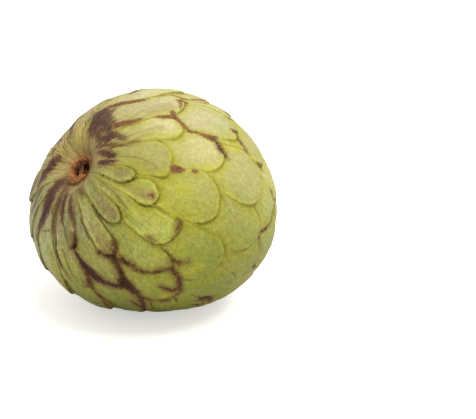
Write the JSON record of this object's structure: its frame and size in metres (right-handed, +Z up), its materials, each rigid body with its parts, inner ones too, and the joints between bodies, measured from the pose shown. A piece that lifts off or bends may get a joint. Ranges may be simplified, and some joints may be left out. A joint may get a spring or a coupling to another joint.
{
  "type": "custard apple",
  "caption": "Whole round custard apple with green overlapping scale-like areoles, a stalk pit with a torn woody stub, resting on its side on a small flat spot",
  "frame": {"origin": "On the resting plane, under the middle of the fruit's bounding box", "axes": "+Z up. The stalk axis lies in the XZ plane: the stalk end looks towards -X and about 38 degrees upwards, the blossom end towards +X and downwards"},
  "size_m": [0.1006, 0.0982, 0.089],
  "materials": {
    "skin": "matte",
    "torn_wood": "rough"
  },
  "bodies": {
    "root": {"fruit": "skin", "stem_stub": "torn_wood"}
  },
  "joints": []
}
